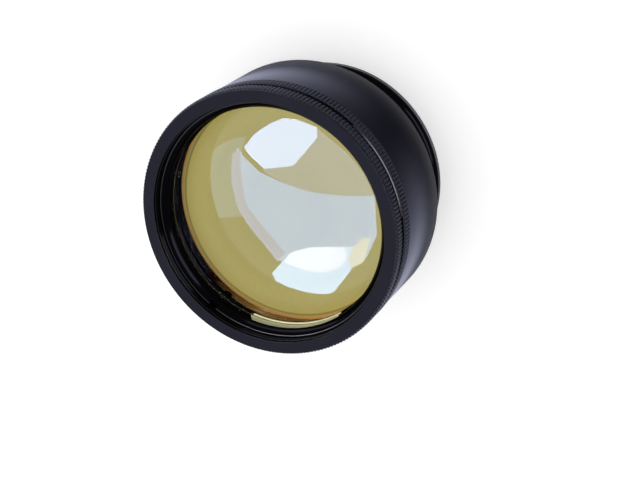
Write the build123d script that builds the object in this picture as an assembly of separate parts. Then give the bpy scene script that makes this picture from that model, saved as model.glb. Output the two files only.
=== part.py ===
"""F-theta scan lens: a turned barrel with a mounting thread, four lens elements and a window cell.

The lens stands on the end of its mounting thread. The origin is the centre of that end face,
+Z runs along the optical axis towards the window, and all lengths are in millimetres.
"""
import math
import os

from build123d import *

# ---- Barrel, outside ---------------------------------------------------------------------
barrel_radius = 48.5
barrel_edge_chamfer = 0.5
shoulder_height = 20.4
body_length = 34.9
neck_undercut = 1.5

# ---- Mounting thread, M85 x 1, at its major diameter ---------------------------------------
mount_thread_radius = 42.5
mount_thread_length = 4.0
mount_thread_chamfer = 0.6

# ---- Straight knurl, cut alike on the cell and on the barrel ---------------------------------
tooth_count = 216
tooth_crest_height = 0.3
tooth_root_depth = 0.3
tooth_crest_share = 0.3
tooth_relief_depth = 0.4
tooth_base_depth = 1.0
barrel_knurl_length = 4.5
barrel_front_land = 1.0

# ---- Window cell -------------------------------------------------------------------------
cell_flange_length = 4.6
cell_face_rim = 0.7
cell_face_inset = 0.4
cell_face_chamfer = 0.2
cell_groove_width = 1.7
cell_groove_depth = 1.6
cell_thread_length = 5.3
barrel_mouth_wall = 2.5
cell_wall = 2.5
cell_mouth_step = 0.35
cell_mouth_depth = 0.8
cell_lip_width = 3.0
cell_lip_thickness = 1.6

# ---- Window, its gasket and its retaining ring -------------------------------------------------
window_thickness = 3.5
window_bevel = 0.3
gasket_thickness = 0.5
gasket_inset = 0.4
window_ring_length = 2.7
window_ring_land = 0.6
window_ring_lip_width = 0.7
window_ring_width = 2.7

# ---- O-ring between cell and barrel ---------------------------------------------------------
o_ring_section_radius = 0.5
o_ring_groove_width = 1.4
o_ring_groove_offset = 1.2

# ---- Front group: loaded from the window end, held by the front retaining ring ---------------------
barrel_wall = 4.2
front_ring_thread_step = 0.7
front_ring_length = 2.7
front_ring_lip_width = 0.4
front_lens_rim = 4.5
front_lens_seat_width = 1.3
front_lens_upper_dome = 2.0
front_lens_lower_dome = 2.4
front_air_gap = 0.4
third_lens_rim = 5.0
third_lens_seat_width = 2.8
third_lens_upper_dome = 5.9
third_lens_lower_hollow = 4.0

# ---- Web between the two groups ----------------------------------------------------------------
web_thickness = 3.0
web_land = 1.0

# ---- Rear group: loaded from the thread end, held by the rear retaining ring -----------------------
neck_wall = 3.5
rear_ring_thread_step = 0.8
rear_ring_length = 3.0
rear_ring_lip_width = 1.5
rear_lens_seat_width = 3.0
rear_recess_depth = 5.0
entrance_lens_rim = 3.5
entrance_lens_upper_dome = 4.0
entrance_lens_lower_hollow = 5.1
rear_spacer_length = 4.5
second_lens_rim = 4.5
second_lens_upper_dome = 5.5
second_lens_lower_hollow = 3.3

# ---- Clearances and small details ------------------------------------------------------------
thread_clearance = 0.05
thread_run_out = 0.5
lens_clearance = 0.1
lens_bevel = 0.3
slot_width = 3.0
slot_depth = 1.2
slot_count = 2
slot_turn = 105.0

# ---- Heights along the axis, stacked from the rear end face ----------------------------------------
rear_ring_bottom = rear_recess_depth
entrance_lens_bottom = rear_ring_bottom + rear_ring_length
rear_spacer_bottom = entrance_lens_bottom + entrance_lens_rim
second_lens_bottom = rear_spacer_bottom + rear_spacer_length
web_bottom = second_lens_bottom + second_lens_rim
web_top = web_bottom + web_thickness
front_spacer_bottom = web_top + third_lens_rim
front_lens_bottom = front_spacer_bottom + third_lens_upper_dome + front_air_gap + front_lens_lower_dome
front_ring_bottom = front_lens_bottom + front_lens_rim
front_ring_top = front_ring_bottom + front_ring_length
cell_seat = shoulder_height + body_length
flange_bottom = cell_seat + cell_groove_width
overall_length = flange_bottom + cell_flange_length
cell_bottom = cell_seat - cell_thread_length
gasket_bottom = cell_bottom + cell_lip_thickness
window_bottom = gasket_bottom + gasket_thickness
window_top = window_bottom + window_thickness
window_ring_top = window_top + window_ring_length
o_ring_groove_bottom = cell_bottom + o_ring_groove_offset
o_ring_groove_top = o_ring_groove_bottom + o_ring_groove_width
barrel_knurl_top = cell_seat - barrel_front_land
barrel_knurl_bottom = barrel_knurl_top - barrel_knurl_length

# ---- Radii, worked inwards from the outside ----------------------------------------------------------
tooth_crest_radius = barrel_radius + tooth_crest_height
tooth_root_radius = barrel_radius - tooth_root_depth
tooth_relief_radius = barrel_radius - tooth_relief_depth
tooth_base_radius = barrel_radius - tooth_base_depth
cell_face_radius = barrel_radius - cell_face_inset
cell_groove_radius = barrel_radius - cell_groove_depth
cell_thread_radius = barrel_radius - barrel_mouth_wall
o_ring_groove_radius = cell_thread_radius - 2 * o_ring_section_radius
cell_bore_radius = cell_thread_radius - cell_wall
cell_mouth_radius = cell_bore_radius + cell_mouth_step
cell_lip_radius = cell_bore_radius - cell_lip_width
gasket_inner_radius = cell_lip_radius + gasket_inset
window_radius = cell_bore_radius - lens_clearance
window_ring_aperture_radius = cell_bore_radius - window_ring_width
window_ring_mouth_radius = cell_bore_radius - window_ring_lip_width
front_bore_radius = barrel_radius - barrel_wall
front_ring_thread_radius = front_bore_radius + front_ring_thread_step
front_ring_mouth_radius = front_bore_radius - front_ring_lip_width
front_lens_radius = front_bore_radius - lens_clearance
front_lens_clear_radius = front_bore_radius - front_lens_seat_width
third_lens_clear_radius = front_bore_radius - third_lens_seat_width
neck_radius = mount_thread_radius - neck_undercut
rear_bore_radius = neck_radius - neck_wall
rear_ring_thread_radius = rear_bore_radius + rear_ring_thread_step
rear_ring_mouth_radius = rear_bore_radius - rear_ring_lip_width
rear_lens_radius = rear_bore_radius - lens_clearance
rear_clear_radius = rear_bore_radius - rear_lens_seat_width


def turned(*points):
    """Solid of revolution about the axis from (radius, height) points."""
    outline = Polyline(*[(radius, 0, height) for radius, height in points], close=True)
    return revolve(make_face(outline), axis=Axis.Z)


def dome_points(edge_height, dome, clear_radius):
    """Apex, halfway point and edge of a spherical surface. A negative dome bulges downwards."""
    curve = (clear_radius**2 + dome**2) / (2 * dome)
    half_drop = curve - math.copysign(math.sqrt(curve**2 - (clear_radius / 2) ** 2), curve)
    apex_height = edge_height + dome
    return (0, 0, apex_height), (clear_radius / 2, 0, apex_height - half_drop), (clear_radius, 0, edge_height)


def lens(radius, clear_radius, bottom, rim, lower_dome, upper_dome):
    """Lens element with two spherical faces, a flat seat round each, and bevelled edges."""
    top = bottom + rim
    low_apex, low_half, low_edge = dome_points(bottom, lower_dome, clear_radius)
    high_apex, high_half, high_edge = dome_points(top, upper_dome, clear_radius)
    rim_outline = Polyline(
        low_edge,
        (radius - lens_bevel, 0, bottom),
        (radius, 0, bottom + lens_bevel),
        (radius, 0, top - lens_bevel),
        (radius - lens_bevel, 0, top),
        high_edge,
    )
    outline = [
        ThreePointArc(low_apex, low_half, low_edge),
        rim_outline,
        ThreePointArc(high_edge, high_half, high_apex),
        Line(high_apex, low_apex),
    ]
    return revolve(make_face(outline), axis=Axis.Z)


def spanner_slots(face_height, inner, outer):
    """Cutters for the radial slots in the face of a retaining ring."""
    reach = outer - inner + 2 * slot_depth
    cutter = Pos((inner + outer) / 2, 0, face_height) * Box(reach, slot_width, 2 * slot_depth)
    return [Rot(0, 0, slot_turn + 360 * index / slot_count) * cutter for index in range(slot_count)]


def knurled_ring(bottom, top):
    """Ring of straight knurl teeth to join to a turned body."""
    pitch = 2 * math.pi / tooth_count
    half_crest = pitch * tooth_crest_share / 2
    outline = []
    for tooth in range(tooth_count):
        middle = tooth * pitch
        for radius, angle in (
            (tooth_crest_radius, middle - half_crest),
            (tooth_crest_radius, middle + half_crest),
            (tooth_root_radius, middle + pitch / 2),
        ):
            outline.append((radius * math.cos(angle), radius * math.sin(angle)))
    teeth = Pos(0, 0, bottom) * extrude(make_face(Polyline(*outline, close=True)), top - bottom)
    return teeth - Pos(0, 0, (bottom + top) / 2) * Cylinder(tooth_base_radius, top - bottom)


def barrel():
    """One-piece housing: mounting thread, neck, shoulder, body, knurled front end and stepped bore."""
    body = turned(
        (rear_ring_thread_radius, 0),
        (mount_thread_radius - mount_thread_chamfer, 0),
        (mount_thread_radius, mount_thread_chamfer),
        (mount_thread_radius, mount_thread_length),
        (neck_radius, mount_thread_length + mount_thread_radius - neck_radius),
        (neck_radius, shoulder_height),
        (barrel_radius - barrel_edge_chamfer, shoulder_height),
        (barrel_radius, shoulder_height + barrel_edge_chamfer),
        (barrel_radius, barrel_knurl_bottom - tooth_relief_depth),
        (tooth_relief_radius, barrel_knurl_bottom),
        (tooth_base_radius, barrel_knurl_bottom),
        (tooth_base_radius, barrel_knurl_top),
        (tooth_relief_radius, barrel_knurl_top),
        (barrel_radius, barrel_knurl_top + tooth_relief_depth),
        (barrel_radius, cell_seat - barrel_edge_chamfer),
        (barrel_radius - barrel_edge_chamfer, cell_seat),
        (cell_thread_radius, cell_seat),
        (cell_thread_radius, cell_bottom - thread_run_out),
        (front_ring_thread_radius, cell_bottom - thread_run_out),
        (front_ring_thread_radius, front_ring_bottom - thread_run_out),
        (front_bore_radius, front_ring_bottom - thread_run_out),
        (front_bore_radius, web_top),
        (third_lens_clear_radius, web_top),
        (rear_clear_radius, web_bottom + web_land),
        (rear_clear_radius, web_bottom),
        (rear_bore_radius, web_bottom),
        (rear_bore_radius, entrance_lens_bottom + thread_run_out),
        (rear_ring_thread_radius, entrance_lens_bottom + thread_run_out),
    )
    return body + knurled_ring(barrel_knurl_bottom, barrel_knurl_top)


def window_cell():
    """Screw-in cell: face, knurled flange, recessed collar, O-ring groove and lip for the window."""
    flange_top = overall_length - cell_face_rim
    spigot_radius = cell_thread_radius - thread_clearance
    body = turned(
        (cell_lip_radius, cell_bottom),
        (spigot_radius, cell_bottom),
        (spigot_radius, o_ring_groove_bottom),
        (o_ring_groove_radius, o_ring_groove_bottom),
        (o_ring_groove_radius, o_ring_groove_top),
        (spigot_radius, o_ring_groove_top),
        (spigot_radius, cell_seat),
        (cell_groove_radius, cell_seat),
        (cell_groove_radius, flange_bottom),
        (tooth_base_radius, flange_bottom),
        (tooth_base_radius, flange_top),
        (cell_face_radius, flange_top),
        (cell_face_radius, overall_length - cell_face_chamfer),
        (cell_face_radius - cell_face_chamfer, overall_length),
        (cell_mouth_radius, overall_length),
        (cell_mouth_radius, overall_length - cell_mouth_depth),
        (cell_bore_radius, overall_length - cell_mouth_depth),
        (cell_bore_radius, gasket_bottom),
        (cell_lip_radius, gasket_bottom),
    )
    return body + knurled_ring(flange_bottom, flange_top)


def cell_o_ring():
    """O-ring in the groove of the cell's spigot, touching the barrel's bore."""
    centre_radius = cell_thread_radius - o_ring_section_radius
    centre_height = (o_ring_groove_bottom + o_ring_groove_top) / 2
    return Pos(0, 0, centre_height) * Torus(centre_radius, o_ring_section_radius)


def protective_window():
    """Flat window with bevelled edges."""
    return turned(
        (0, window_bottom),
        (window_radius - window_bevel, window_bottom),
        (window_radius, window_bottom + window_bevel),
        (window_radius, window_top - window_bevel),
        (window_radius - window_bevel, window_top),
        (0, window_top),
    )


def window_gasket():
    """Flat gasket between the lip of the cell and the window."""
    return turned(
        (gasket_inner_radius, gasket_bottom),
        (window_radius, gasket_bottom),
        (window_radius, window_bottom),
        (gasket_inner_radius, window_bottom),
    )


def window_retaining_ring():
    """Screw-in ring on top of the window, with a wide bevel and spanner slots."""
    outer = cell_bore_radius - thread_clearance
    ring = turned(
        (window_ring_aperture_radius, window_top),
        (outer, window_top),
        (outer, window_ring_top),
        (window_ring_mouth_radius, window_ring_top),
        (window_ring_aperture_radius, window_top + window_ring_land),
    )
    return ring - spanner_slots(window_ring_top, window_ring_aperture_radius, outer)


def front_retaining_ring():
    """Screw-in ring on top of the front lens."""
    outer = front_ring_thread_radius - thread_clearance
    ring = turned(
        (front_lens_clear_radius, front_ring_bottom),
        (outer, front_ring_bottom),
        (outer, front_ring_top),
        (front_ring_mouth_radius, front_ring_top),
    )
    return ring - spanner_slots(front_ring_top, front_lens_clear_radius, outer)


def rear_retaining_ring():
    """Screw-in ring under the entrance lens, slotted on the side that shows."""
    outer = rear_ring_thread_radius - thread_clearance
    ring = turned(
        (rear_clear_radius, entrance_lens_bottom),
        (outer, entrance_lens_bottom),
        (outer, rear_ring_bottom),
        (rear_ring_mouth_radius, rear_ring_bottom),
    )
    return ring - spanner_slots(rear_ring_bottom, rear_clear_radius, outer)


def front_lens():
    """Largest element, bulging on both sides."""
    return lens(
        front_lens_radius, front_lens_clear_radius, front_lens_bottom, front_lens_rim,
        -front_lens_lower_dome, front_lens_upper_dome,
    )


def third_lens():
    """Thick meniscus on the web, hollow towards the scan head."""
    return lens(
        front_lens_radius, third_lens_clear_radius, web_top, third_lens_rim,
        third_lens_lower_hollow, third_lens_upper_dome,
    )


def second_lens():
    """Meniscus under the web."""
    return lens(
        rear_lens_radius, rear_clear_radius, second_lens_bottom, second_lens_rim,
        second_lens_lower_hollow, second_lens_upper_dome,
    )


def entrance_lens():
    """Thin negative meniscus that the laser beam meets first."""
    return lens(
        rear_lens_radius, rear_clear_radius, entrance_lens_bottom, entrance_lens_rim,
        entrance_lens_lower_hollow, entrance_lens_upper_dome,
    )


def front_spacer():
    """Tapered ring between the third and the front lens."""
    return turned(
        (third_lens_clear_radius, front_spacer_bottom),
        (front_lens_radius, front_spacer_bottom),
        (front_lens_radius, front_lens_bottom),
        (front_lens_clear_radius, front_lens_bottom),
    )


def rear_spacer():
    """Ring between the entrance and the second lens."""
    return turned(
        (rear_clear_radius, rear_spacer_bottom),
        (rear_lens_radius, rear_spacer_bottom),
        (rear_lens_radius, second_lens_bottom),
        (rear_clear_radius, second_lens_bottom),
    )


PIECES = (
    barrel,
    window_cell,
    cell_o_ring,
    protective_window,
    window_gasket,
    window_retaining_ring,
    front_retaining_ring,
    rear_retaining_ring,
    front_lens,
    third_lens,
    second_lens,
    entrance_lens,
    front_spacer,
    rear_spacer,
)

os.makedirs("parts", exist_ok=True)
for piece in PIECES:
    export_step(piece(), f"parts/{piece.__name__}.step")
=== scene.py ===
"""Looks of an f-theta scan lens: turned black metal, knurled edges, coated glass in a deep bore.

The lens stands on its mounting thread. Sizes of the turned pieces are in millimetres, as on a
workshop drawing, and are scaled to metres where a mesh is made.
"""

import logging
import math
from collections.abc import Callable, Iterable, Sequence
from dataclasses import dataclass
from enum import Enum

import bpy
from mathutils import Euler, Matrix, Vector

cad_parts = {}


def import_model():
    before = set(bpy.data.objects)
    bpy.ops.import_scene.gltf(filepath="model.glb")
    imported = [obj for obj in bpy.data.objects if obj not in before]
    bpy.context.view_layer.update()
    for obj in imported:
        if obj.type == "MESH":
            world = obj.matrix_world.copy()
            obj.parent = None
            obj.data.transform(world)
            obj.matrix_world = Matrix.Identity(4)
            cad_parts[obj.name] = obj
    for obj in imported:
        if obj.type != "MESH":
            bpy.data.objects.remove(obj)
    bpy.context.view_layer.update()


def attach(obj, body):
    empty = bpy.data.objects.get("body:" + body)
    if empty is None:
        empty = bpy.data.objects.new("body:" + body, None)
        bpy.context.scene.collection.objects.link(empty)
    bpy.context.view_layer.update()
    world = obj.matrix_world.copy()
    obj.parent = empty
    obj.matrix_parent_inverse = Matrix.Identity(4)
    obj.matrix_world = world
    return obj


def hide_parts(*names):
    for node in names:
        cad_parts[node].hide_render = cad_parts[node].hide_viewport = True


MM = 0.001  # metres in a millimetre
TURN = 2 * math.pi
SEGMENTS = 256  # steps round a turned piece
AXIS = 0.0005  # radius that stands for the axis, in millimetres
MERGE = 0.002  # distance at which vertices are one, in millimetres
SHARP = math.radians(30)  # least angle of an edge that gets a chamfer
CREASE = math.radians(24)  # least angle that is shaded as a corner
NEAR = 0.1  # margin of a test on places, in millimetres
HAIR = 0.01  # margin that leaves out a face next to the tested ones
FAR = 50.0  # radius beyond every piece, in millimetres
FRAME = (640, 480)  # pixels across and down the camera's frame
WHITE = (1.0, 1.0, 1.0)

Corner = tuple[float, float]
Place = tuple[float, float, float]
Colour = tuple[float, float, float]
Piece = bpy.types.Object
Material = bpy.types.Material
Socket = bpy.types.NodeSocket
PlaceTest = Callable[[Vector], bool]

log = logging.getLogger("scan_lens")


class Slot(Enum):
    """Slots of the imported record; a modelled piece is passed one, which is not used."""

    METAL = "anodised_aluminium"
    WINDOW = "clear_glass"
    LENS = "coated_glass"


# ---- Edit-mode tools ------------------------------------------------------------------------


def clear_selection() -> None:
    """Deselect every object."""
    bpy.ops.object.select_all(action="DESELECT")


def select_vertices(piece: Piece, chosen: PlaceTest) -> None:
    """Select, in edit mode, the vertices whose place passes a test.

    Args:
        piece: Object that is being edited.
        chosen: Test on a vertex's place, in metres.
    """
    bpy.ops.mesh.select_all(action="DESELECT")
    bpy.ops.object.mode_set(mode="OBJECT")
    for vertex in piece.data.vertices:
        vertex.select = chosen(vertex.co)
    bpy.ops.object.mode_set(mode="EDIT")


def start_circle(name: str, vertices: int, radius: float, height: float) -> Piece:
    """Add a circle round the axis and begin to edit it.

    Args:
        name: Name of the new piece.
        vertices: Vertices round the circle.
        radius: Radius in millimetres.
        height: Height in millimetres.

    Returns:
        The object, in edit mode with its circle selected.
    """
    clear_selection()
    bpy.ops.mesh.primitive_circle_add(
        vertices=vertices,
        radius=max(radius, AXIS) * MM,
        fill_type="NOTHING",
        location=(0, 0, height * MM),
    )
    piece = bpy.context.object
    piece.name = name
    piece.data.name = name
    bpy.ops.object.transform_apply(location=True, rotation=True, scale=True)
    bpy.ops.object.mode_set(mode="EDIT")
    bpy.ops.mesh.select_all(action="SELECT")
    return piece


def extrude_to(start: Corner, end: Corner) -> None:
    """Extrude the selected circle from one corner of the section to the next.

    Args:
        start: Radius and height of the selected circle, in millimetres.
        end: Radius and height of the new circle, in millimetres.
    """
    growth = max(end[0], AXIS) / max(start[0], AXIS)
    rise = (0, 0, (end[1] - start[1]) * MM)
    bpy.ops.mesh.extrude_edges_move(TRANSFORM_OT_translate={"value": rise})
    bpy.ops.transform.resize(value=(growth, growth, 1), center_override=(0, 0, end[1] * MM))


def close_surface() -> None:
    """Merge the doubled vertices of the edited piece and turn its faces outwards."""
    bpy.ops.mesh.select_all(action="SELECT")
    bpy.ops.mesh.remove_doubles(threshold=MERGE * MM)
    bpy.ops.mesh.normals_make_consistent(inside=False)
    bpy.ops.object.mode_set(mode="OBJECT")


def turned(name: str, section: Sequence[Corner], closed: bool = True) -> Piece:
    """Turn a piece on the lathe: a circle extruded from corner to corner of its half section.

    Args:
        name: Name of the piece.
        section: Corners (radius, height) in millimetres, in order.
        closed: Whether the last corner runs back to the first. A section that starts and
            ends on the axis stays open.

    Returns:
        The piece, with its faces outwards.
    """
    piece = start_circle(name, SEGMENTS, *section[0])
    path = [*section, section[0]] if closed else list(section)
    for start, end in zip(path, path[1:]):
        extrude_to(start, end)
    close_surface()
    return piece


def break_edges(piece: Piece, width: float) -> None:
    """Chamfer the sharp edges of a piece a little, as with a file on the lathe.

    Args:
        piece: Piece to finish.
        width: Width of the chamfer in millimetres.
    """
    modifier = piece.modifiers.new("broken edges", "BEVEL")
    modifier.width = width * MM
    modifier.segments = 1
    modifier.limit_method = "ANGLE"
    modifier.angle_limit = SHARP
    bpy.context.view_layer.objects.active = piece
    bpy.ops.object.modifier_apply(modifier=modifier.name)


def shade(piece: Piece) -> None:
    """Shade a piece smooth round the turn and crisp across its corners.

    Args:
        piece: Piece to shade.
    """
    clear_selection()
    piece.select_set(True)
    bpy.context.view_layer.objects.active = piece
    bpy.ops.object.shade_smooth_by_angle(angle=CREASE)


def joined(pieces: Sequence[Piece]) -> Piece:
    """Join pieces of one body into the first of them.

    Args:
        pieces: Objects to join.

    Returns:
        The first object, which now holds them all.
    """
    clear_selection()
    for piece in pieces:
        piece.select_set(True)
    bpy.context.view_layer.objects.active = pieces[0]
    bpy.ops.object.join()
    return pieces[0]


def cut(piece: Piece, cutters: Iterable[Piece]) -> None:
    """Cut shapes out of a piece and throw the cutters away.

    Args:
        piece: Piece that is cut.
        cutters: Closed meshes to take out of it.
    """
    for cutter in cutters:
        modifier = piece.modifiers.new("slot", "BOOLEAN")
        modifier.operation = "DIFFERENCE"
        modifier.solver = "EXACT"
        modifier.object = cutter
        bpy.context.view_layer.objects.active = piece
        bpy.ops.object.modifier_apply(modifier=modifier.name)
        bpy.data.objects.remove(cutter, do_unlink=True)


def dome(edge_height: float, rise: float, clear_radius: float, steps: int = 24) -> list[Corner]:
    """Corners of a spherical surface from its edge to the axis.

    Args:
        edge_height: Height of the surface's edge in millimetres.
        rise: Height of the middle above the edge, negative where it bulges down.
        clear_radius: Radius of the edge in millimetres.
        steps: Number of steps to the axis.

    Returns:
        The corners, with the edge first.
    """
    curve = (clear_radius**2 + rise**2) / (2 * abs(rise))
    sign = math.copysign(1, rise)
    corners = []
    for step in range(steps + 1):
        radius = clear_radius * (1 - step / steps)
        drop = curve - math.sqrt(curve**2 - radius**2)
        corners.append((radius, edge_height + rise - sign * drop))
    return corners


# ---- Finishes ---------------------------------------------------------------------------------


@dataclass(frozen=True)
class Pattern:
    """Size and depth of a noise: features in a metre, and octaves."""

    scale: float
    detail: float


class NodeSheet:
    """A material's node tree, with short calls to add and link its nodes."""

    def __init__(self, name: str) -> None:
        """Start a material with an empty tree, a Principled shader and its output.

        Args:
            name: Name of the material.
        """
        self.material = bpy.data.materials.new(name)
        self.material.use_nodes = True
        self.tree = self.material.node_tree
        self.tree.nodes.clear()
        self.output = self.add("ShaderNodeOutputMaterial")
        self.shader = self.add("ShaderNodeBsdfPrincipled")
        self.link(self.shader.outputs["BSDF"], self.output.inputs["Surface"])

    def add(self, kind: str, **settings: object) -> bpy.types.Node:
        """Add a node and set its properties.

        Args:
            kind: Node type.
            **settings: Properties of the node.

        Returns:
            The node.
        """
        node = self.tree.nodes.new(kind)
        for key, value in settings.items():
            setattr(node, key, value)
        return node

    def link(self, source: Socket, target: Socket) -> None:
        """Link two sockets."""
        self.tree.links.new(source, target)

    def calculate(self, operation: str, *terms: Socket | float) -> Socket:
        """Add a Math node.

        Args:
            operation: Operation of the node.
            *terms: Sockets or numbers that it works on.

        Returns:
            The result's socket.
        """
        node = self.add("ShaderNodeMath", operation=operation)
        for socket, term in zip(node.inputs, terms):
            if isinstance(term, (int, float)):
                socket.default_value = term
            else:
                self.link(term, socket)
        return node.outputs["Value"]

    def place(self) -> Socket:
        """Return the object's own coordinates."""
        return self.add("ShaderNodeTexCoord").outputs["Object"]

    def parts(self) -> bpy.types.bpy_prop_collection:
        """Split the object's own coordinates.

        Returns:
            The sockets of X, Y and Z.
        """
        split = self.add("ShaderNodeSeparateXYZ")
        self.link(self.place(), split.inputs[0])
        return split.outputs

    def lathe_place(self) -> tuple[Socket, Socket]:
        """Find where a surface point lies on the lathe.

        Returns:
            Its distance from the axis and its height, in metres.
        """
        *across, height = self.parts()
        squares = (self.calculate("MULTIPLY", part, part) for part in across)
        return self.calculate("SQRT", self.calculate("ADD", *squares)), height

    def radius_share(self, axis: str) -> Socket:
        """Return a surface point's X or Y as a share of its distance from the axis."""
        return self.calculate("DIVIDE", self.parts()[axis], self.lathe_place()[0])

    def noise(self, pattern: Pattern, vector: Socket | None = None) -> Socket:
        """Add a noise texture.

        Args:
            pattern: Its size and depth.
            vector: Coordinates that it reads, or None for the object's own.

        Returns:
            The noise from 0 to 1.
        """
        texture = self.add("ShaderNodeTexNoise")
        texture.inputs["Scale"].default_value = pattern.scale
        texture.inputs["Detail"].default_value = pattern.detail
        self.link(self.place() if vector is None else vector, texture.inputs["Vector"])
        return texture.outputs["Fac"]

    def limited(self, value: Socket) -> Socket:
        """Hold a value between 0 and 1."""
        return self.calculate("MINIMUM", self.calculate("MAXIMUM", value, 0.0), 1.0)

    def paint(self, factor: Socket, dark: Colour, light: Colour) -> None:
        """Give the surface a colour between two shades.

        Args:
            factor: Place between them, from 0 to 1.
            dark: Colour at 0.
            light: Colour at 1.
        """
        mix = self.add("ShaderNodeMix", data_type="RGBA")
        self.link(factor, mix.inputs["Factor"])
        mix.inputs["A"].default_value = (*dark, 1)
        mix.inputs["B"].default_value = (*light, 1)
        self.link(mix.outputs["Result"], self.shader.inputs["Base Color"])

    def roughen(self, factor: Socket, smooth: float, rough: float) -> None:
        """Give the surface a roughness between two values."""
        uneven = self.calculate("MULTIPLY_ADD", factor, rough - smooth, smooth)
        self.link(uneven, self.shader.inputs["Roughness"])

    def bump(self, height: Socket, depth: float, strength: float) -> None:
        """Raise the surface by a height map.

        Args:
            height: Height from 0 to 1.
            depth: Depth in metres that 1 stands for.
            strength: Share of the effect that is used.
        """
        node = self.add("ShaderNodeBump")
        node.inputs["Strength"].default_value = strength
        node.inputs["Distance"].default_value = depth
        self.link(height, node.inputs["Height"])
        self.link(node.outputs["Normal"], self.shader.inputs["Normal"])

    def set(self, **values: float | tuple) -> None:
        """Set shader sockets by their names, with _ for each space."""
        for key, value in values.items():
            self.shader.inputs[key.replace("_", " ")].default_value = value

    def gloss(self, specular: float, tint: Colour = WHITE, ior: float = 1.5) -> None:
        """Set the reflections of a surface that isn't bare metal."""
        self.set(Metallic=0.0, IOR=ior, Specular_IOR_Level=specular, Specular_Tint=(*tint, 1))


@dataclass(frozen=True)
class SatinBlack:
    """Turned aluminium, anodised black outside: satin, faintly blue, with fine tool rings."""

    name: str = "satin black anodised aluminium"
    dark: Colour = (0.0070, 0.0072, 0.0120)
    light: Colour = (0.0100, 0.0102, 0.0165)
    roughness: tuple[float, float] = (0.26, 0.36)
    specular: float = 0.12
    tint: Colour = (0.75, 0.8, 1.0)
    rings: Pattern = Pattern(5200, 2)
    cloud: Pattern = Pattern(60, 4)
    grain: Pattern = Pattern(9000, 2)
    grain_share: float = 0.35
    depth: float = 0.000015
    strength: float = 0.12

    def make(self) -> Material:
        """Build the material.

        Returns:
            The material.
        """
        sheet = NodeSheet(self.name)
        radius, height = sheet.lathe_place()
        turns = sheet.add("ShaderNodeCombineXYZ")
        sheet.link(radius, turns.inputs["X"])
        sheet.link(height, turns.inputs["Y"])
        rings = sheet.noise(self.rings, turns.outputs["Vector"])
        cloud = sheet.noise(self.cloud)
        sheet.paint(cloud, self.dark, self.light)
        half_cloud = sheet.calculate("MULTIPLY", cloud, 0.5)
        sheet.roughen(sheet.calculate("MULTIPLY_ADD", rings, 0.5, half_cloud), *self.roughness)
        grain = sheet.noise(self.grain)
        surface = sheet.calculate("MULTIPLY_ADD", grain, self.grain_share, rings)
        sheet.bump(surface, self.depth, self.strength)
        sheet.gloss(self.specular, self.tint)
        return sheet.material


@dataclass(frozen=True)
class ShadedBoreBlack:
    """The same metal, glossy from fine turning but much darker and barely reflective: painted shade
    for the bore and for shaded places outside.
    """

    name: str = "glossy black bore with painted shade"
    dark: Colour = (0.0006, 0.0006, 0.0010)
    light: Colour = (0.0012, 0.0012, 0.0020)
    roughness: tuple[float, float] = (0.10, 0.16)
    specular: float = 0.02
    tint: Colour = (0.82, 0.80, 1.0)
    cloud: Pattern = Pattern(140, 4)

    def make(self) -> Material:
        """Build the material.

        Returns:
            The material.
        """
        sheet = NodeSheet(self.name)
        cloud = sheet.noise(self.cloud)
        sheet.paint(cloud, self.dark, self.light)
        sheet.roughen(cloud, *self.roughness)
        sheet.gloss(self.specular, self.tint)
        return sheet.material


@dataclass(frozen=True)
class MattFace:
    """The front face of the cell: the same black, with a finer and duller grain."""

    name: str = "matt black anodised face"
    dark: Colour = (0.0150, 0.0152, 0.0240)
    light: Colour = (0.0206, 0.0208, 0.0325)
    roughness: tuple[float, float] = (0.52, 0.60)
    specular: float = 0.012
    cloud: Pattern = Pattern(70, 4)
    grain: Pattern = Pattern(7000, 2)
    depth: float = 0.00001
    strength: float = 0.2

    def make(self) -> Material:
        """Build the material.

        Returns:
            The material.
        """
        sheet = NodeSheet(self.name)
        sheet.paint(sheet.noise(self.cloud), self.dark, self.light)
        grain = sheet.noise(self.grain)
        sheet.roughen(grain, *self.roughness)
        sheet.bump(grain, self.depth, self.strength)
        sheet.gloss(self.specular)
        return sheet.material


@dataclass(frozen=True)
class RubbedEdge:
    """Corners where the black has worn thin and shines; copies of it paint highlights on the lowest
    thread crests and on an arc of the front chamfer.
    """

    name: str = "rubbed black anodised edge"
    dark: Colour = (0.006, 0.006, 0.008)
    light: Colour = (0.016, 0.016, 0.019)
    roughness: float = 0.28
    specular: float = 0.22
    spread: float = 0.05
    wear: Pattern = Pattern(350, 5)

    def make(self) -> Material:
        """Build the material.

        Returns:
            The material.
        """
        sheet = NodeSheet(self.name)
        wear = sheet.noise(self.wear)
        sheet.paint(wear, self.dark, self.light)
        sheet.roughen(wear, self.roughness - self.spread, self.roughness + self.spread)
        sheet.gloss(self.specular)
        return sheet.material


@dataclass(frozen=True)
class SealRubber:
    """Black rubber of the seals, with an amber sheen; a pale copy of it paints a lit crescent."""

    name: str = "black seal rubber"
    dark: Colour = (0.0025, 0.0025, 0.003)
    light: Colour = (0.005, 0.005, 0.006)
    tint: Colour = (1.0, 0.92, 0.5)
    specular: float = 0.6
    roughness: tuple[float, float] = (0.08, 0.14)
    cloud: Pattern = Pattern(400, 4)

    def make(self) -> Material:
        """Build the material.

        Returns:
            The material.
        """
        sheet = NodeSheet(self.name)
        cloud = sheet.noise(self.cloud)
        sheet.paint(cloud, self.dark, self.light)
        sheet.roughen(cloud, *self.roughness)
        sheet.gloss(self.specular, self.tint)
        return sheet.material


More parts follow.
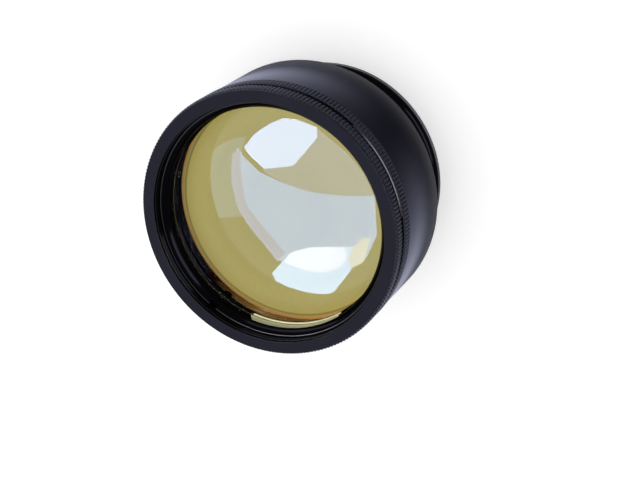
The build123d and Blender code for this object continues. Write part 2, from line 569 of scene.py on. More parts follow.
@dataclass(frozen=True)
class BronzeReflectionRing:
    """Cone of a retaining ring as a metal mirror; its bronze tint, growing towards -X, is a painted
    reflection of the gold glass.
    """

    name: str = "bronze ring cone with painted reflection"
    dyed: Colour = (0.006, 0.001, 0.001)
    reflected_bronze: Colour = (0.35, 0.21, 0.095)
    roughness: tuple[float, float] = (0.10, 0.18)
    cloud: Pattern = Pattern(120, 4)
    reflection_slope: float = -2.2
    reflection_at_side: float = -0.2

    def make(self) -> Material:
        """Build the material.

        Returns:
            The material.
        """
        sheet = NodeSheet(self.name)
        side = sheet.radius_share("X")
        # share of the painted bronze reflection, growing towards -X
        wear = sheet.calculate("MULTIPLY_ADD", side, self.reflection_slope, self.reflection_at_side)
        sheet.paint(sheet.limited(wear), self.dyed, self.reflected_bronze)
        sheet.roughen(sheet.noise(self.cloud), *self.roughness)
        sheet.set(Metallic=1.0)
        return sheet.material


@dataclass(frozen=True)
class WindowGlass:
    """Clear window with a low-reflection coating that leaves a trace of violet."""

    name: str = "clear window glass"
    tint: Colour = (0.99, 1.0, 0.985)
    coating: Colour = (0.012, 0.008, 0.014)
    ior: float = 1.1
    cloud: Pattern = Pattern(90, 3)

    def make(self) -> Material:
        """Build the material.

        Returns:
            The material.
        """
        sheet = NodeSheet(self.name)
        sheet.paint(sheet.noise(self.cloud), self.tint, WHITE)
        sheet.set(Transmission_Weight=1.0, Roughness=0.0)
        sheet.set(IOR=self.ior, Specular_Tint=(*self.coating, 1))
        return sheet.material


@dataclass(frozen=True)
class PaintedGoldGlass:
    """Lens glass with its gold painted into the base colour as the light seen in it, under a
    coating whose reflections are blue.
    """

    name: str = "gold lens glass with painted light"
    # gold by radius: painted light, lighter outwards to offset the shade under the cell, with a
    # painted darker line and an orange rim
    rings: tuple[tuple[float, Colour], ...] = (
        (0.0, (0.46, 0.39, 0.115)),
        (15.0, (0.46, 0.39, 0.115)),
        (30.0, (0.58, 0.50, 0.170)),
        (38.0, (0.80, 0.69, 0.230)),
        (40.9, (0.90, 0.76, 0.210)),
        (41.1, (0.50, 0.43, 0.130)),
        (41.6, (0.52, 0.44, 0.130)),
        (41.8, (0.88, 0.64, 0.180)),
        (42.9, (0.84, 0.48, 0.130)),
    )
    reach: float = 50.0
    coating: Colour = (0.5, 0.7, 1.0)
    ior: float = 1.5
    specular: float = 0.44
    roughness: tuple[float, float] = (0.008, 0.02)
    cloud: Pattern = Pattern(45, 2)

    def make(self) -> Material:
        """Build the material.

        Returns:
            The material.
        """
        sheet = NodeSheet(self.name)
        radius, _ = sheet.lathe_place()
        ramp = sheet.add("ShaderNodeValToRGB")
        sheet.link(sheet.calculate("DIVIDE", radius, self.reach * MM), ramp.inputs["Fac"])
        band = ramp.color_ramp
        while len(band.elements) < len(self.rings):
            band.elements.new(1.0)
        for element, (place, colour) in zip(band.elements, self.rings):
            element.position = place / self.reach
            element.color = (*colour, 1)
        sheet.link(ramp.outputs["Color"], sheet.shader.inputs["Base Color"])
        sheet.roughen(sheet.noise(self.cloud), *self.roughness)
        sheet.gloss(self.specular, self.coating, self.ior)
        return sheet.material


# ---- Sub-assemblies ----------------------------------------------------------------------------


@dataclass(frozen=True)
class Blacks:
    """The finishes of the anodised metal, some of them painted shade or painted highlights."""

    outside: Material
    face: Material
    bore: Material
    edge: Material
    knurl: Material
    # glossier chamfer arc: painted highlight
    chamfer: Material
    # lowest thread crests: painted highlight
    thread_end_highlight: Material
    ring: Material


def ring_test(
    radii: tuple[float, float],
    heights: tuple[float, float],
    arc: tuple[float, float] = (-180.0, 180.0),
) -> PlaceTest:
    """Make a test for places between two radii and two heights, all round or on an arc.

    Args:
        radii: Lowest and highest radius in millimetres.
        heights: Lowest and highest height in millimetres.
        arc: First and last angle in degrees.

    Returns:
        The test, for places in metres.
    """

    def inside(place: Vector) -> bool:
        """Test one place.

        Args:
            place: The place, in metres.

        Returns:
            Whether it is between them.
        """
        radius = math.hypot(place.x, place.y) / MM
        turn = math.degrees(math.atan2(place.y, place.x))
        return (
            radii[0] < radius < radii[1]
            and heights[0] < place.z / MM < heights[1]
            and arc[0] <= turn <= arc[1]
        )

    return inside


def dress_parts(piece: Piece, *parts: tuple[Material, PlaceTest]) -> None:
    """Give some faces of a dressed piece other finishes.

    Args:
        piece: Piece that has its first finish.
        *parts: Finishes, each with the test on a face's middle that chooses its faces. A
            later one covers an earlier one.
    """
    for finish, chosen in parts:
        piece.data.materials.append(finish)
        for face in piece.data.polygons:
            if chosen(face.center):
                face.material_index = len(piece.data.materials) - 1


def fit_out(piece: Piece, finish: Material, slot: Slot, *nodes: str) -> None:
    """Dress a finished piece and put it in the place of its CAD nodes.

    Args:
        piece: Finished piece.
        finish: Its material.
        slot: Not used.
        *nodes: CAD nodes that it stands for.
    """
    piece.data.materials.clear()
    piece.data.materials.append(finish)
    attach(piece, "root")
    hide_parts(*nodes)
    log.info("%s: %d faces, for %s", piece.name, len(piece.data.polygons), ", ".join(nodes))


@dataclass
class Knurl:
    """Straight knurl: rounded teeth round a band."""

    teeth: int = 216
    points: int = 8
    crest: float = 48.8
    root: float = 48.2
    base: float = 47.5
    end_ease: float = 0.3
    fullness: float = 0.7
    least_share: float = 0.01
    root_slack: float = 0.05

    def band(self, name: str, bottom: float, top: float) -> Piece:
        """Model one band as a closed ring.

        Args:
            name: Name of the band.
            bottom: Height of its lower end in millimetres.
            top: Height of its upper end in millimetres.

        Returns:
            The ring, ready to be joined to its body.
        """
        heights = (bottom + self.end_ease, top - self.end_ease)
        section = [
            (self.base, bottom),
            *((self.root, height) for height in (bottom, *heights, top)),
            (self.base, top),
            (self.base, bottom),
        ]
        ring = start_circle(name, self.teeth * self.points, *section[0])
        for start, end in zip(section, section[1:]):
            extrude_to(start, end)
        self._raise_teeth(ring, heights)
        close_surface()
        return ring

    def _raise_teeth(self, ring: Piece, heights: Sequence[float]) -> None:
        """Push the crests and flanks of the teeth out from the plain band.

        Args:
            ring: The band, in edit mode.
            heights: Lower and upper end of the teeth, in millimetres.
        """
        step = TURN / (self.teeth * self.points)
        for point in range(self.points // 2 + 1):
            share = (0.5 + 0.5 * math.cos(TURN * point / self.points)) ** self.fullness
            if share < self.least_share:
                continue
            growth = (self.root + (self.crest - self.root) * share) / self.root

            def on_tooth(place: Vector, point: int = point) -> bool:
                """Test a vertex.

                Args:
                    place: Its place, in metres.
                    point: Line of the teeth, counted from the crest.

                Returns:
                    Whether it is on that line, between the eased ends.
                """
                outside = math.hypot(place.x, place.y) / MM >= self.root - self.root_slack
                if not outside or not heights[0] - HAIR < place.z / MM < heights[1] + HAIR:
                    return False
                index = round(math.atan2(place.x, place.y) / step) % self.points
                return index in (point, (self.points - point) % self.points)

            select_vertices(ring, on_tooth)
            bpy.ops.transform.resize(value=(growth, growth, 1), center_override=(0, 0, 0))


@dataclass
class MountThread:
    """Fine external thread on the rear end, as ridges round the neck."""

    pitch: float = 1.0
    crest: float = 42.5
    root: float = 41.9
    ridges: int = 4
    profile: tuple[float, ...] = (0.05, 0.42, 0.58, 0.95)

    def corners(self, bottom: float) -> list[Corner]:
        """Corners of the ridges, from the lowest up.

        Args:
            bottom: Height where the thread starts, in millimetres.

        Returns:
            The corners.
        """
        radii = (self.root, self.crest, self.crest, self.root)
        line = []
        for ridge in range(self.ridges):
            height = bottom + ridge * self.pitch
            for radius, share in zip(radii, self.profile):
                line.append((radius, height + share * self.pitch))
        return line


@dataclass
class RingThread:
    """Fine internal thread above a retaining ring, as grooves in the bore."""

    pitch: float = 0.75
    crest: float = 43.5
    root: float = 43.8
    share: float = 0.22

    def corners(self, top: float, bottom: float) -> list[Corner]:
        """Corners of the grooves, from the highest down.

        Args:
            top: Height where the thread starts, in millimetres.
            bottom: Height that it runs down to, in millimetres.

        Returns:
            The corners.
        """
        line = [(self.crest, top)]
        height = top - self.share * self.pitch
        while height - self.pitch > bottom:
            line += [
                (self.crest, height),
                (self.root, height - (0.5 - self.share / 2) * self.pitch),
                (self.crest, height - (1 - self.share) * self.pitch),
            ]
            height -= self.pitch
        return line


@dataclass
class Barrel:
    """One-piece housing with the mounting thread, the knurled front end and the stepped bore."""

    blacks: Blacks
    radius: float = 48.5
    edge: float = 0.5
    broken: float = 0.08
    shoulder: float = 20.4
    neck: float = 41.0
    seat: float = 55.3
    knurl_length: float = 4.5
    land: float = 1.0
    relief: float = 0.4
    mouth: float = 46.0
    spigot_depth: float = 5.8
    ring_thread: float = 45.0
    bore: float = 44.3
    ring_thread_bottom: float = 41.2
    web: tuple[float, float] = (20.5, 23.5)
    web_radii: tuple[float, float] = (34.5, 41.5)
    web_land: float = 1.0
    rear_bore: float = 37.5
    rear_thread: float = 38.3
    rear_thread_top: float = 8.5
    # arc of the front chamfer that alone gets the glossier finish: a painted highlight line, not
    # wear
    highlight_arc: tuple[float, float] = (-122.0, -80.0)

    def build(self) -> None:
        """Turn the housing, knurl it and fit it in place of its CAD node."""
        knurl_top = self.seat - self.land
        knurl_bottom = knurl_top - self.knurl_length
        thread = MountThread()
        section = [
            (self.rear_thread, 0),
            (thread.root, 0),
            *thread.corners(0),
            (self.neck, thread.ridges * thread.pitch + thread.root - self.neck),
            (self.neck, self.shoulder),
            (self.radius - self.edge, self.shoulder),
            (self.radius, self.shoulder + self.edge),
            (self.radius, knurl_bottom - self.relief),
            (self.radius - self.relief, knurl_bottom),
            (self.radius - self.relief, knurl_top),
            (self.radius, knurl_top + self.relief),
            (self.radius, self.seat - self.edge),
            (self.radius - self.edge, self.seat),
            (self.mouth, self.seat),
            (self.mouth, self.seat - self.spigot_depth),
            (self.ring_thread, self.seat - self.spigot_depth),
            (self.ring_thread, self.ring_thread_bottom),
            (self.bore, self.ring_thread_bottom),
            (self.bore, self.web[1]),
            (self.web_radii[1], self.web[1]),
            (self.web_radii[0], self.web[0] + self.web_land),
            (self.web_radii[0], self.web[0]),
            (self.rear_bore, self.web[0]),
            (self.rear_bore, self.rear_thread_top),
            (self.rear_thread, self.rear_thread_top),
        ]
        body = turned("barrel_body", section)
        break_edges(body, self.broken)
        band = Knurl().band("barrel_knurl", knurl_bottom, knurl_top)
        housing = joined([body, band])
        shade(housing)
        fit_out(housing, self.blacks.outside, Slot.METAL, "barrel")
        front_bore = ring_test((0, self.mouth + NEAR), (self.web[0], self.seat))
        rear_bore = ring_test((0, self.rear_thread + NEAR), (0, self.web[0] + NEAR))
        inside_edge = self.radius - self.edge
        chamfer = ((inside_edge, self.radius - 2 * HAIR), (self.seat - self.edge, self.seat - HAIR))
        # lowest thread crests get a far lighter finish: a painted highlight for a lit rim
        painted_rim_top = 2 * thread.pitch
        painted_rim = ring_test((thread.root - NEAR, self.radius), (-NEAR, painted_rim_top))
        # neck under the shoulder: painted shade with the dark bore finish
        neck = ring_test((self.neck - 2 * NEAR, inside_edge), (painted_rim_top, self.shoulder + NEAR))
        dress_parts(
            housing,
            (self.blacks.bore, front_bore),
            (self.blacks.bore, rear_bore),
            # front chamfer all round: painted shade with the dark bore finish
            (self.blacks.bore, ring_test(*chamfer)),
            (self.blacks.chamfer, ring_test(*chamfer, self.highlight_arc)),
            (self.blacks.bore, neck),
            (self.blacks.thread_end_highlight, painted_rim),
            (self.blacks.knurl, ring_test((Knurl.root - NEAR, FAR), (knurl_bottom, knurl_top))),
        )


@dataclass
class SpannerSlots:
    """The two slots across a retaining ring, for a flat spanner."""

    width: float = 3.0
    depth: float = 1.2
    turn: float = 105.0
    overrun: float = 2.0

    def cutters(self, face: float, inner: float, outer: float) -> list[Piece]:
        """Blocks that cut the slots.

        Args:
            face: Height of the ring's face in millimetres.
            inner: Radius of its opening in millimetres.
            outer: Its outer radius in millimetres.

        Returns:
            One block for each slot.
        """
        blocks = []
        middle = (inner + outer) / 2 * MM
        for half_turns in range(2):
            angle = math.radians(self.turn) + half_turns * TURN / 2
            clear_selection()
            bpy.ops.mesh.primitive_cube_add(
                size=1,
                location=(middle * math.cos(angle), middle * math.sin(angle), face * MM),
                rotation=(0, 0, angle),
            )
            block = bpy.context.object
            sides = (outer - inner + self.overrun, self.width, 2 * self.depth)
            block.scale = [side * MM for side in sides]
            bpy.ops.object.transform_apply(location=True, rotation=True, scale=True)
            blocks.append(block)
        return blocks


def slotted_ring(name: str, section: Sequence[Corner], face: float, broken: float) -> Piece:
    """Turn a retaining ring and cut its slots.

    Args:
        name: Name of the ring.
        section: Corners (radius, height) in millimetres, in order.
        face: Height of the face that has the slots, in millimetres.
        broken: Width of the chamfer on its edges, in millimetres.

    Returns:
        The shaded ring.
    """
    ring = turned(name, section)
    break_edges(ring, broken)
    radii = [radius for radius, _ in section]
    cut(ring, SpannerSlots().cutters(face, min(radii), max(radii)))
    shade(ring)
    return ring


@dataclass
class WindowCell:
    """Screw-in cell with its window, gasket, O-ring and retaining ring."""

    blacks: Blacks
    rubber: Material
    painted_crescent: Material
    glass: Material
    face: float = 61.6
    flange: float = 57.0
    seat: float = 55.3
    bottom: float = 50.0
    rim: float = 0.7
    face_radius: float = 48.1
    groove: float = 46.9
    spigot: float = 45.95
    mouth: float = 43.85
    mouth_depth: float = 0.8
    bore: float = 43.5
    lip: float = 40.5
    lip_top: float = 51.6
    lip_ease: float = 0.8
    broken: float = 0.1
    knurl_lap: float = 0.2
    edge_band: float = 0.12
    # arc of the gasket and lip that carries a painted lit crescent
    crescent_arc: tuple[float, float] = (124.0, 174.0)
    o_ring_groove: tuple[float, float, float] = (45.0, 51.2, 52.6)
    window: tuple[float, float, float] = (43.4, 52.1, 55.6)
    window_ease: float = 0.3
    ring_top: float = 58.3
    ring_mouth: float = 42.8
    ring_aperture: float = 40.8
    ring_land: float = 0.6
    ring_play: float = 0.05
    ring_ease: float = 0.14
    ring_edge_band: float = 0.15
    edge_gap: float = 0.005

    def build(self) -> None:
        """Model and fit all the pieces of the cell."""
        self._cell()
        self._window()
        self._ring()
        for node in ("cell_o_ring", "window_gasket"):
            dress_node(node, self.rubber)
        radius, bottom, _ = self.window
        heights = (bottom - NEAR, bottom + NEAR)
        # gasket top on the arc: painted lit crescent
        crescent_faces = ring_test((self.lip, radius + NEAR), heights, self.crescent_arc)
        dress_parts(bpy.data.objects["window_gasket"], (self.painted_crescent, crescent_faces))

    def _cell(self) -> None:
        """Turn the cell and knurl its flange."""
        groove, groove_bottom, groove_top = self.o_ring_groove
        flange_top = self.face - self.rim
        step = self.face - self.mouth_depth
        section = [
            (self.lip, self.bottom),
            (self.spigot, self.bottom),
            (self.spigot, groove_bottom),
            (groove, groove_bottom),
            (groove, groove_top),
            (self.spigot, groove_top),
            (self.spigot, self.seat),
            (self.groove, self.seat),
            (self.groove, self.flange),
            (Knurl.root - self.knurl_lap, self.flange),
            (Knurl.root - self.knurl_lap, flange_top),
            (self.face_radius, flange_top),
            (self.face_radius, self.face),
            (self.mouth, self.face),
            (self.mouth, step),
            *RingThread().corners(step, self.ring_top),
            (self.bore, self.lip_top),
            (self.lip + self.lip_ease, self.lip_top),
            (self.lip, self.lip_top - self.lip_ease),
        ]
        body = turned("window_cell_body", section)
        break_edges(body, self.broken)
        band = Knurl().band("window_cell_knurl", self.flange, flange_top)
        cell = joined([body, band])
        shade(cell)
        fit_out(cell, self.blacks.outside, Slot.METAL, "window_cell")
        lip_heights = (self.lip_top - self.lip_ease, self.lip_top + NEAR)
        mouth_edge = (
            (self.mouth, self.mouth + self.edge_band),
            (self.face + HAIR - self.edge_band, self.face - HAIR),
        )
        bore_edge = (
            (self.bore - HAIR, self.bore + self.edge_band),
            (step - self.edge_band, step - self.edge_gap),
        )
        dress_parts(
            cell,
            (self.blacks.face, ring_test((self.mouth, FAR), (self.face - HAIR, self.face + NEAR))),
            (self.blacks.bore, ring_test((0, self.spigot), (0, self.face - HAIR))),
            (self.blacks.knurl, ring_test((Knurl.root - NEAR, FAR), (self.flange, flange_top))),
            # lip top on the arc: painted lit crescent
            (self.painted_crescent, ring_test((self.lip, self.bore), lip_heights, self.crescent_arc)),
            (self.blacks.edge, ring_test(*mouth_edge)),
            (self.blacks.edge, ring_test(*bore_edge)),
        )

    def _window(self) -> None:
        """Turn the flat window."""
        radius, bottom, top = self.window
        section = [(0, bottom), (radius, bottom), (radius, top), (0, top)]
        pane = turned("window_pane", section, closed=False)
        break_edges(pane, self.window_ease)
        shade(pane)
        fit_out(pane, self.glass, Slot.WINDOW, "protective_window")
        pane.visible_diffuse = False
        pane.visible_glossy = False
        pane.visible_shadow = False

    def _ring(self) -> None:
        """Turn the bevelled ring over the window and cut its slots."""
        outer = self.bore - self.ring_play
        bottom = self.window[2]
        section = [
            (self.ring_aperture, bottom),
            (outer, bottom),
            (outer, self.ring_top),
            (self.ring_mouth, self.ring_top),
            (self.ring_aperture, bottom + self.ring_land),
        ]
        ring = slotted_ring("window_ring", section, self.ring_top, self.ring_ease)
        fit_out(ring, self.blacks.bore, Slot.METAL, "window_retaining_ring")
        rubbed = ring_test(
            (self.ring_mouth - self.ring_edge_band, self.ring_mouth + self.ring_edge_band),
            (self.ring_top - self.ring_edge_band, self.ring_top - self.edge_gap),
        )
        dress_parts(ring, (self.blacks.edge, rubbed))


@dataclass
class LensElement:
    """One glass element with two spherical faces and a flat seat round each."""

    name: str
    node: str
    radius: float
    clear: float
    bottom: float
    rim: float
    lower: float
    upper: float
    bevel: float = 0.3

    def build(self, glass: Material) -> None:
        """Turn the element and fit it.

        Args:
            glass: Its material.
        """
        top = self.bottom + self.rim
        section = [
            *reversed(dome(self.bottom, self.lower, self.clear)),
            (self.radius - self.bevel, self.bottom),
            (self.radius, self.bottom + self.bevel),
            (self.radius, top - self.bevel),
            (self.radius - self.bevel, top),
            *dome(top, self.upper, self.clear),
        ]
        element = turned(self.name, section, closed=False)
        shade(element)
        fit_out(element, glass, Slot.LENS, self.node)


@dataclass
class FrontGroup:
    """The two large elements, their spacer and the ring that holds them."""

    blacks: Blacks
    glass: Material
    lens_radius: float = 44.2
    ring: tuple[float, float] = (41.7, 44.4)
    ring_outer: float = 44.95
    ring_mouth: float = 43.9
    clear: float = 43.0
    broken: float = 0.08
    reflection_arc: tuple[float, float] = (92.0, 180.0)

    def build(self) -> None:
        """Model and fit the group."""
        for element in (
            LensElement(
                "front_element", "front_lens", radius=self.lens_radius, clear=self.clear,
                bottom=37.2, rim=4.5, lower=-2.4, upper=2.0,
            ),
            LensElement(
                "third_element", "third_lens", radius=self.lens_radius, clear=41.5,
                bottom=23.5, rim=5.0, lower=4.0, upper=5.9,
            ),
        ):
            element.build(self.glass)
        dress_node("front_spacer", self.blacks.bore)
        bottom, top = self.ring
        section = [
            (self.clear, bottom),
            (self.ring_outer, bottom),
            (self.ring_outer, top),
            (self.ring_mouth, top),
        ]
        ring = slotted_ring("front_ring", section, top, self.broken)
        fit_out(ring, self.blacks.bore, Slot.METAL, "front_retaining_ring")
        # cone on the arc: painted reflection of the gold glass
        cone = ring_test((self.clear, self.ring_mouth), (bottom, top), self.reflection_arc)
        dress_parts(ring, (self.blacks.ring, cone))


@dataclass
class RearGroup:
    """The two small elements, their spacer and the ring at the threaded end."""

    blacks: Blacks
    glass: Material
    lens_radius: float = 37.4
    ring: tuple[float, float] = (5.0, 8.0)
    ring_outer: float = 38.25
    ring_mouth: float = 36.0
    clear: float = 34.5
    broken: float = 0.08

    def build(self) -> None:
        """Model and fit the group."""
        for element in (
            LensElement(
                "second_element", "second_lens", radius=self.lens_radius, clear=self.clear,
                bottom=16.0, rim=4.5, lower=3.3, upper=5.5,
            ),
            LensElement(
                "entrance_element", "entrance_lens", radius=self.lens_radius, clear=self.clear,
                bottom=8.0, rim=3.5, lower=5.1, upper=4.0,
            ),
        ):
            element.build(self.glass)
        dress_node("rear_spacer", self.blacks.bore)
        bottom, top = self.ring
        section = [
            (self.clear, top),
            (self.ring_outer, top),
            (self.ring_outer, bottom),
            (self.ring_mouth, bottom),
        ]
        ring = slotted_ring("rear_ring", section, bottom, self.broken)
        fit_out(ring, self.blacks.outside, Slot.METAL, "rear_retaining_ring")


def dress_node(node: str, finish: Material) -> None:
    """Give a CAD node that stays its finish.

    Args:
        node: Name of the node.
        finish: Its material.
    """
    piece = bpy.data.objects[node]
    piece.data.materials.clear()
    piece.data.materials.append(finish)
    log.info("%s: stays, dressed", node)


# ---- Studio --------------------------------------------------------------------------------------


@dataclass(frozen=True)
class MirrorSight:
    """Lines of sight that go from the camera to the front dome and off it to the lamps."""

    camera_place: Place
    camera_turn: Place
    focal: float
    dome_top: float = 43.7
    dome_rise: float = 2.0
    dome_edge: float = 43.0
    window_lift: float = 0.42

    def lamp_spot(self, spot: Corner, height: float) -> Corner:
        """Where a lamp must be to shine back from a spot of the frame.

        Args:
            spot: Place in the frame, in pixels from its upper left corner.
            height: Height of the lamp, in metres.

        Returns:
            Place of the lamp along X and Y, in metres.
        """
        curve = (self.dome_edge**2 + self.dome_rise**2) / (2 * self.dome_rise) * MM
        middle = Vector((0, 0, (self.dome_top + self.window_lift) * MM - curve))
        start = Vector(self.camera_place)
        turn = Euler([math.radians(angle) for angle in self.camera_turn], "XYZ").to_matrix()
        across, up = spot[0] - FRAME[0] / 2, FRAME[1] / 2 - spot[1]
        sight = turn @ Vector((across, up, -self.focal))
        sight.normalize()
        offset = start - middle
        along = offset.dot(sight)
        hit = start + sight * (-along - math.sqrt(along**2 - offset.length_squared + curve**2))
        onward = sight.reflect((hit - middle).normalized())
        lamp = hit + onward * ((height - hit.z) / onward.z)
        return (lamp.x, lamp.y)


def lit_sheet(name: str, colour: Colour) -> tuple[NodeSheet, Socket]:
    """Start a material that only shines.

    Args:
        name: Its name.
        colour: Colour of its light.

    Returns:
        The sheet and the socket of the light's strength.
    """
    sheet = NodeSheet(name)
    sheet.tree.nodes.remove(sheet.shader)
    light = sheet.add("ShaderNodeEmission")
    light.inputs["Color"].default_value = (*colour, 1)
    sheet.link(light.outputs["Emission"], sheet.output.inputs["Surface"])
    return sheet, light.inputs["Strength"]


def hang(card: Piece, finish: Material) -> None:
    """Dress a card and let only reflections show it.

    Args:
        card: The card.
        finish: Its light.
    """
    card.data.materials.append(finish)
    card.visible_camera = False
    card.visible_diffuse = False
    card.visible_shadow = False


@dataclass(frozen=True)
class Card:
    """A flat lit card, as a studio hangs round glossy things."""

    name: str
    colour: Colour
    strength: float

    def build(self, corners: Sequence[Place]) -> None:
        """Make the card's face and its light.

        Args:
            corners: Corners of the face, in metres.
        """
        clear_selection()
        bpy.ops.mesh.primitive_circle_add(vertices=len(corners), radius=1, fill_type="NGON")
        face = bpy.context.object
        face.name = self.name
        for vertex, corner in zip(face.data.vertices, corners):
            vertex.co = corner
        sheet, strength = lit_sheet(self.name, self.colour)
        strength.default_value = self.strength
        hang(face, sheet.material)


@dataclass(frozen=True)
class GradedCard:
    """A card on the floor round the lens: black near it and in front, palest at the sides."""

    name: str = "graded_card"
    colour: Colour = (0.76, 0.78, 1.0)
    level: float = 3.0
    fall: float = 1.6
    least_fall: float = 0.1
    fade: tuple[float, float] = (54.0, 72.0)
    inner: float = 51.0
    outer: float = 500.0
    height: float = 1.0
    segments: int = 96

    def build(self) -> None:
        """Make the card and its graded light."""
        card = start_circle(self.name, self.segments, self.inner, self.height)
        extrude_to((self.inner, self.height), (self.outer, self.height))
        bpy.ops.object.mode_set(mode="OBJECT")
        sheet, strength = lit_sheet(self.name, self.colour)
        sideways = sheet.radius_share("Y")
        rise = sheet.calculate("MULTIPLY_ADD", sideways, self.level, self.level)
        fall = sheet.calculate("MULTIPLY_ADD", sideways, -self.fall, 1.0)
        fall = sheet.calculate("MAXIMUM", fall, self.least_fall)
        graded = sheet.calculate("MULTIPLY", rise, fall)
        start, end = (edge * MM for edge in self.fade)
        radius, _ = sheet.lathe_place()
        share = sheet.calculate("DIVIDE", sheet.calculate("SUBTRACT", radius, start), end - start)
        sheet.link(sheet.calculate("MULTIPLY", graded, sheet.limited(share)), strength)
        hang(card, sheet.material)


def arc_place(turn: float, reach: float, height: float) -> Place:
    """Return the place at an angle in degrees, a distance from the axis and a height."""
    angle = math.radians(turn)
    return (reach * math.cos(angle), reach * math.sin(angle), height)


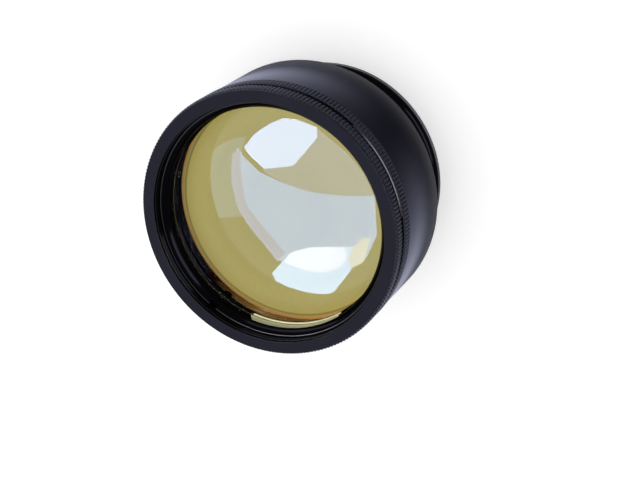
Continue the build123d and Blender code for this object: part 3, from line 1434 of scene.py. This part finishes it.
@dataclass
class Studio:
    """Pale floor, even surroundings, softboxes and the camera."""

    floor_size: float = 12.0
    floor_grey: float = 0.82
    floor_roughness: float = 0.9
    floor_specular: float = 0.2
    floor_glow: float = 0.38
    lamp_height: float = 1.2
    lamp_step: float = 0.01
    key_glint: tuple[Corner, ...] = (
        (244, 147), (254, 134), (269, 124), (283, 118), (296, 119), (317, 127),
        (317, 138), (306, 151), (293, 166), (264, 169), (248, 154),
    )
    cyan_glint: tuple[Corner, ...] = (
        (272, 273), (290, 253), (310, 247), (350, 247), (367, 243), (364, 262),
        (352, 268), (346, 277), (334, 292), (322, 297), (310, 297), (280, 290),
    )
    band_glint: tuple[Corner, ...] = (
        (237, 147), (234, 173), (238, 203), (253, 227), (277, 260), (300, 266), (330, 262),
        (367, 257), (377, 235), (375, 196), (343, 196), (310, 192), (283, 183), (260, 172),
        (245, 158),
    )
    white_glint: tuple[Corner, ...] = (
        (284, 262), (290, 253), (310, 247), (344, 247), (347, 258), (340, 268), (322, 273),
        (304, 270),
    )
    beige_glint: tuple[Corner, ...] = (
        (317, 128), (345, 151), (362, 171), (375, 196), (343, 196), (310, 192), (283, 183),
        (262, 171), (264, 169), (293, 166), (306, 151), (317, 138),
    )
    side_glint: tuple[Corner, ...] = (
        (203, 167), (207, 156), (219, 145), (234, 138), (246, 136), (242, 150), (242, 175),
        (247, 216), (218, 218), (203, 208),
    )
    soft_glint: tuple[Corner, ...] = (
        (232, 153), (240, 150), (241, 175), (246, 205), (262, 225), (276, 242), (285, 253),
        (277, 261), (262, 242), (249, 227), (237, 207), (231, 180),
    )
    warm_glint: tuple[Corner, ...] = (
        (351, 250), (362, 238), (371, 238), (368, 246), (364, 262), (352, 268), (348, 262),
    )
    side_reach: float = 1.0
    edge_outline: tuple[Corner, ...] = (
        (-132, 0.32), (-109, 0.34), (-86, 0.34), (-86, 0.66), (-109, 0.70), (-132, 0.66),
    )
    low_outline: tuple[Corner, ...] = (
        (-38, 0.36), (-12, 0.24), (10, 0.1), (28, 0.05),
        (28, 0.22), (10, 0.3), (-12, 0.48), (-38, 0.6),
    )
    ring_height: float = 1.0
    ring_outline: tuple[Corner, ...] = (
        (0.40, -0.14), (0.50, -0.10), (0.70, 0.06), (0.88, 0.33), (0.99, 0.66), (0.83, 0.74),
        (0.70, 0.43), (0.54, 0.16), (0.38, -0.02),
    )
    camera_place: Place = (0.0, -0.280872, 0.496269)
    camera_turn: Place = (-21.9063, 23.3708, -132.1105)
    lens_mm: float = 84.375
    sensor_mm: float = 36.0
    clip: tuple[float, float] = (0.01, 100.0)

    def build(self) -> None:
        """Set up the studio."""
        self._floor()
        self._world()
        self._cards()
        self._camera()
        bpy.context.scene.view_settings.view_transform = "Standard"

    def _floor(self) -> None:
        """Lay the pale floor, which looks white where no shadow falls."""
        clear_selection()
        bpy.ops.mesh.primitive_plane_add(size=self.floor_size)
        floor = bpy.context.object
        floor.name = "floor"
        sheet = NodeSheet("pale floor")
        sheet.set(Base_Color=(*[self.floor_grey] * 3, 1), Emission_Color=(*WHITE, 1))
        sheet.set(Roughness=self.floor_roughness, Specular_IOR_Level=self.floor_specular)
        rays = sheet.add("ShaderNodeLightPath").outputs
        shown = sheet.calculate("MAXIMUM", rays["Is Camera Ray"], rays["Is Glossy Ray"])
        shown = sheet.calculate("MAXIMUM", shown, rays["Is Transmission Ray"])
        glow = sheet.calculate("MULTIPLY", shown, self.floor_glow)
        sheet.link(glow, sheet.shader.inputs["Emission Strength"])
        floor.data.materials.append(sheet.material)

    def _world(self) -> None:
        """Surround the lens with white that lights it at a plain level."""
        world = bpy.data.worlds.new("studio")
        bpy.context.scene.world = world
        world.use_nodes = True
        background = world.node_tree.nodes["Background"]
        background.inputs["Color"].default_value = (*WHITE, 1)
        background.inputs["Strength"].default_value = 1.0

    def _cards(self) -> None:
        """Hang the cards for the glints on the front dome, then those for the metal."""
        focal = self.lens_mm / self.sensor_mm * FRAME[0]
        sight = MirrorSight(self.camera_place, self.camera_turn, focal)
        lamps = (
            (Card("soft_card", (0.77, 0.71, 1.0), 10.0), self.soft_glint),
            (Card("warm_card", (1.0, 0.78, 0.62), 20.5), self.warm_glint),
            (Card("key_card", (0.92, 0.88, 1.0), 23.0), self.key_glint),
            (Card("white_card", (1.0, 0.86, 0.86), 29.0), self.white_glint),
            (Card("cyan_card", (0.82, 0.9, 1.0), 21.5), self.cyan_glint),
            (Card("band_card", (0.62, 0.75, 1.0), 14.5), self.band_glint),
            (Card("beige_card", (1.0, 0.9, 1.0), 6.0), self.beige_glint),
            (Card("side_card", (0.85, 1.0, 1.0), 3.8), self.side_glint),
        )
        for order, (card, glint) in enumerate(lamps):
            height = self.lamp_height + order * self.lamp_step
            card.build([(*sight.lamp_spot(spot, height), height) for spot in glint])
        GradedCard().build()
        for card, outline in (
            (Card("edge_card", (0.9, 0.92, 1.0), 20.0), self.edge_outline),
            (Card("low_card", (0.9, 0.92, 1.0), 12.0), self.low_outline),
        ):
            card.build([arc_place(turn, self.side_reach, height) for turn, height in outline])
        card = Card("ring_card", (0.9, 0.86, 1.0), 60.0)
        card.build([(*place, self.ring_height) for place in self.ring_outline])

    def _camera(self) -> None:
        """Place the camera."""
        data = bpy.data.cameras.new("camera")
        data.sensor_width = self.sensor_mm
        data.lens = self.lens_mm
        data.clip_start, data.clip_end = self.clip
        camera = bpy.data.objects.new("camera", data)
        camera.location = self.camera_place
        camera.rotation_euler = Euler([math.radians(turn) for turn in self.camera_turn], "XYZ")
        bpy.context.scene.collection.objects.link(camera)
        bpy.context.scene.camera = camera


def main() -> None:
    """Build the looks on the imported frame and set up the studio."""
    logging.basicConfig(level=logging.INFO, format="%(name)s %(message)s")
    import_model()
    blacks = Blacks(
        outside=SatinBlack().make(),
        face=MattFace().make(),
        # bore finish: painted shade, a much darker copy of the black
        bore=ShadedBoreBlack().make(),
        edge=RubbedEdge().make(),
        knurl=MattFace(
            name="matt black anodised knurl",
            dark=(0.016, 0.0165, 0.025),
            light=(0.023, 0.0235, 0.035),
            roughness=(0.36, 0.44),
            specular=0.08,
        ).make(),
        # chamfer arc finish: painted highlight, glossier than the rest of the chamfer, not wear
        chamfer=RubbedEdge(
            name="black chamfer with painted highlight arc",
            dark=(0.004, 0.004, 0.006),
            light=(0.008, 0.008, 0.011),
            roughness=0.18,
        ).make(),
        # thread end: painted highlight, far lighter than the black
        thread_end_highlight=RubbedEdge(
            name="thread end with painted highlight",
            dark=(0.05, 0.05, 0.055),
            light=(0.08, 0.08, 0.085),
            roughness=0.3,
            specular=0.4,
        ).make(),
        # ring cone: painted bronze reflection
        ring=BronzeReflectionRing().make(),
    )
    rubber = SealRubber().make()
    # pale copy of the rubber: a painted lit crescent, not grease
    painted_crescent = SealRubber(
        name="amber painted crescent",
        dark=(0.80, 0.77, 0.42),
        light=(0.92, 0.89, 0.52),
        specular=0.3,
    ).make()
    window_glass = WindowGlass().make()
    # lens glass: gold painted light
    lens_glass = PaintedGoldGlass().make()
    Barrel(blacks).build()
    WindowCell(blacks, rubber, painted_crescent, window_glass).build()
    FrontGroup(blacks, lens_glass).build()
    RearGroup(blacks, lens_glass).build()
    Studio().build()


if __name__ == "__main__":
    main()
